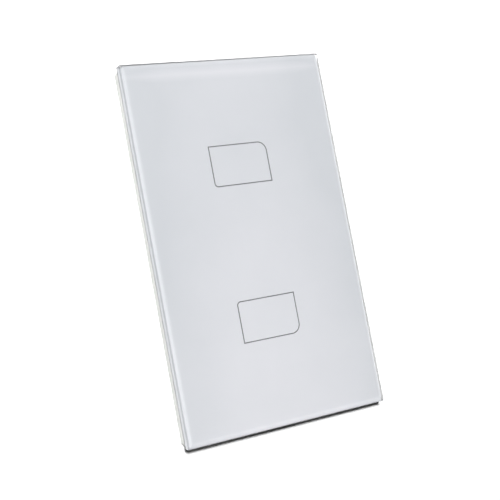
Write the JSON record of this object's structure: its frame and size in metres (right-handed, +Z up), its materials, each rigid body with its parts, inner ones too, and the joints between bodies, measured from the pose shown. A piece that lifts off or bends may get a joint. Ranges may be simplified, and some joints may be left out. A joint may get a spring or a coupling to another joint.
{
  "type": "touch light switch",
  "caption": "Glass touch light switch for an upright wall box, with outlined touch marks, a lift-off glass panel and screw terminals at the back.",
  "frame": {"origin": "the middle of the panel, in the plane of the wall, on the back of the mounting yoke", "axes": "+X to the right seen from the room, +Y into the wall, +Z up the long side of the panel"},
  "size_m": [0.072, 0.04, 0.12],
  "materials": {
    "glass": "polished",
    "white_print": "satin",
    "grey_print": "satin",
    "foam_tape": "matte",
    "white_plastic": "satin",
    "housing_plastic": "matte",
    "plated_steel": "satin",
    "spring_steel": "gloss",
    "screw_steel": "gloss",
    "clear_plastic": "gloss",
    "circuit_board": "satin",
    "black_resin": "matte",
    "pin_header": "matte",
    "lamp_resin": "satin",
    "relay_case": "satin",
    "ferrite": "matte",
    "coil_tape": "satin",
    "capacitor_sleeve": "gloss",
    "suppressor_case": "satin",
    "varistor_dip": "gloss",
    "fuse_case": "satin",
    "block_plastic": "satin",
    "contact_brass": "satin"
  },
  "bodies": {
    "base": {"base_frame": "white_plastic", "mounting_yoke": "plated_steel", "leaf_springs": "spring_steel", "rear_housing": "housing_plastic", "case_screws": "screw_steel", "touch_board": "circuit_board", "contact_spring_upper": "spring_steel", "contact_spring_lower": "spring_steel", "light_guide_upper": "clear_plastic", "light_guide_lower": "clear_plastic", "indicator_lamps": "lamp_resin", "touch_chip": "black_resin", "board_socket": "black_resin", "board_header": "pin_header", "power_board": "circuit_board", "relay_left": "relay_case", "relay_right": "relay_case", "transformer_core": "ferrite", "transformer_coil": "coil_tape", "smoothing_capacitor": "capacitor_sleeve", "suppression_capacitor": "suppressor_case", "varistor": "varistor_dip", "fuse": "fuse_case", "terminal_block": "block_plastic", "contact_bars": "contact_brass"},
    "front_panel": {"glass_plate": "glass", "printed_backing": "white_print", "mark_window_upper": "grey_print", "mark_window_lower": "grey_print", "bonding_tape": "foam_tape", "panel_frame": "white_plastic"},
    "terminal_clamp_1": {"terminal_clamp_1": "contact_brass"},
    "terminal_screw_1": {"terminal_screw_1": "screw_steel"},
    "terminal_clamp_2": {"terminal_clamp_2": "contact_brass"},
    "terminal_screw_2": {"terminal_screw_2": "screw_steel"},
    "terminal_clamp_3": {"terminal_clamp_3": "contact_brass"},
    "terminal_screw_3": {"terminal_screw_3": "screw_steel"},
    "terminal_clamp_4": {"terminal_clamp_4": "contact_brass"},
    "terminal_screw_4": {"terminal_screw_4": "screw_steel"}
  },
  "joints": [
    {"name": "panel_release", "type": "slide", "parent": "base", "child": "front_panel", "axis": [0, -1, 0], "range_m": [0, 0.015], "deforming": ["leaf_springs"]},
    {"name": "terminal_screw_1_turn", "type": "hinge", "parent": "base", "child": "terminal_screw_1", "pos_m": [-0.0105, 0.027, -0.0265], "axis": [0, -1, 0], "range_deg": [0, 1440]},
    {"name": "terminal_clamp_1_rise", "type": "slide", "parent": "base", "child": "terminal_clamp_1", "axis": [0, 1, 0], "range_m": [0, 0.002]},
    {"name": "terminal_screw_2_turn", "type": "hinge", "parent": "base", "child": "terminal_screw_2", "pos_m": [-0.0035, 0.027, -0.0265], "axis": [0, -1, 0], "range_deg": [0, 1440]},
    {"name": "terminal_clamp_2_rise", "type": "slide", "parent": "base", "child": "terminal_clamp_2", "axis": [0, 1, 0], "range_m": [0, 0.002]},
    {"name": "terminal_screw_3_turn", "type": "hinge", "parent": "base", "child": "terminal_screw_3", "pos_m": [0.0035, 0.027, -0.0265], "axis": [0, -1, 0], "range_deg": [0, 1440]},
    {"name": "terminal_clamp_3_rise", "type": "slide", "parent": "base", "child": "terminal_clamp_3", "axis": [0, 1, 0], "range_m": [0, 0.002]},
    {"name": "terminal_screw_4_turn", "type": "hinge", "parent": "base", "child": "terminal_screw_4", "pos_m": [0.0105, 0.027, -0.0265], "axis": [0, -1, 0], "range_deg": [0, 1440]},
    {"name": "terminal_clamp_4_rise", "type": "slide", "parent": "base", "child": "terminal_clamp_4", "axis": [0, 1, 0], "range_m": [0, 0.002]}
  ],
  "couplings": [
    {"joint": "terminal_screw_1_turn", "follows": "terminal_clamp_1_rise", "rad_per_m": 12566},
    {"joint": "terminal_screw_2_turn", "follows": "terminal_clamp_2_rise", "rad_per_m": 12566},
    {"joint": "terminal_screw_3_turn", "follows": "terminal_clamp_3_rise", "rad_per_m": 12566},
    {"joint": "terminal_screw_4_turn", "follows": "terminal_clamp_4_rise", "rad_per_m": 12566}
  ]
}
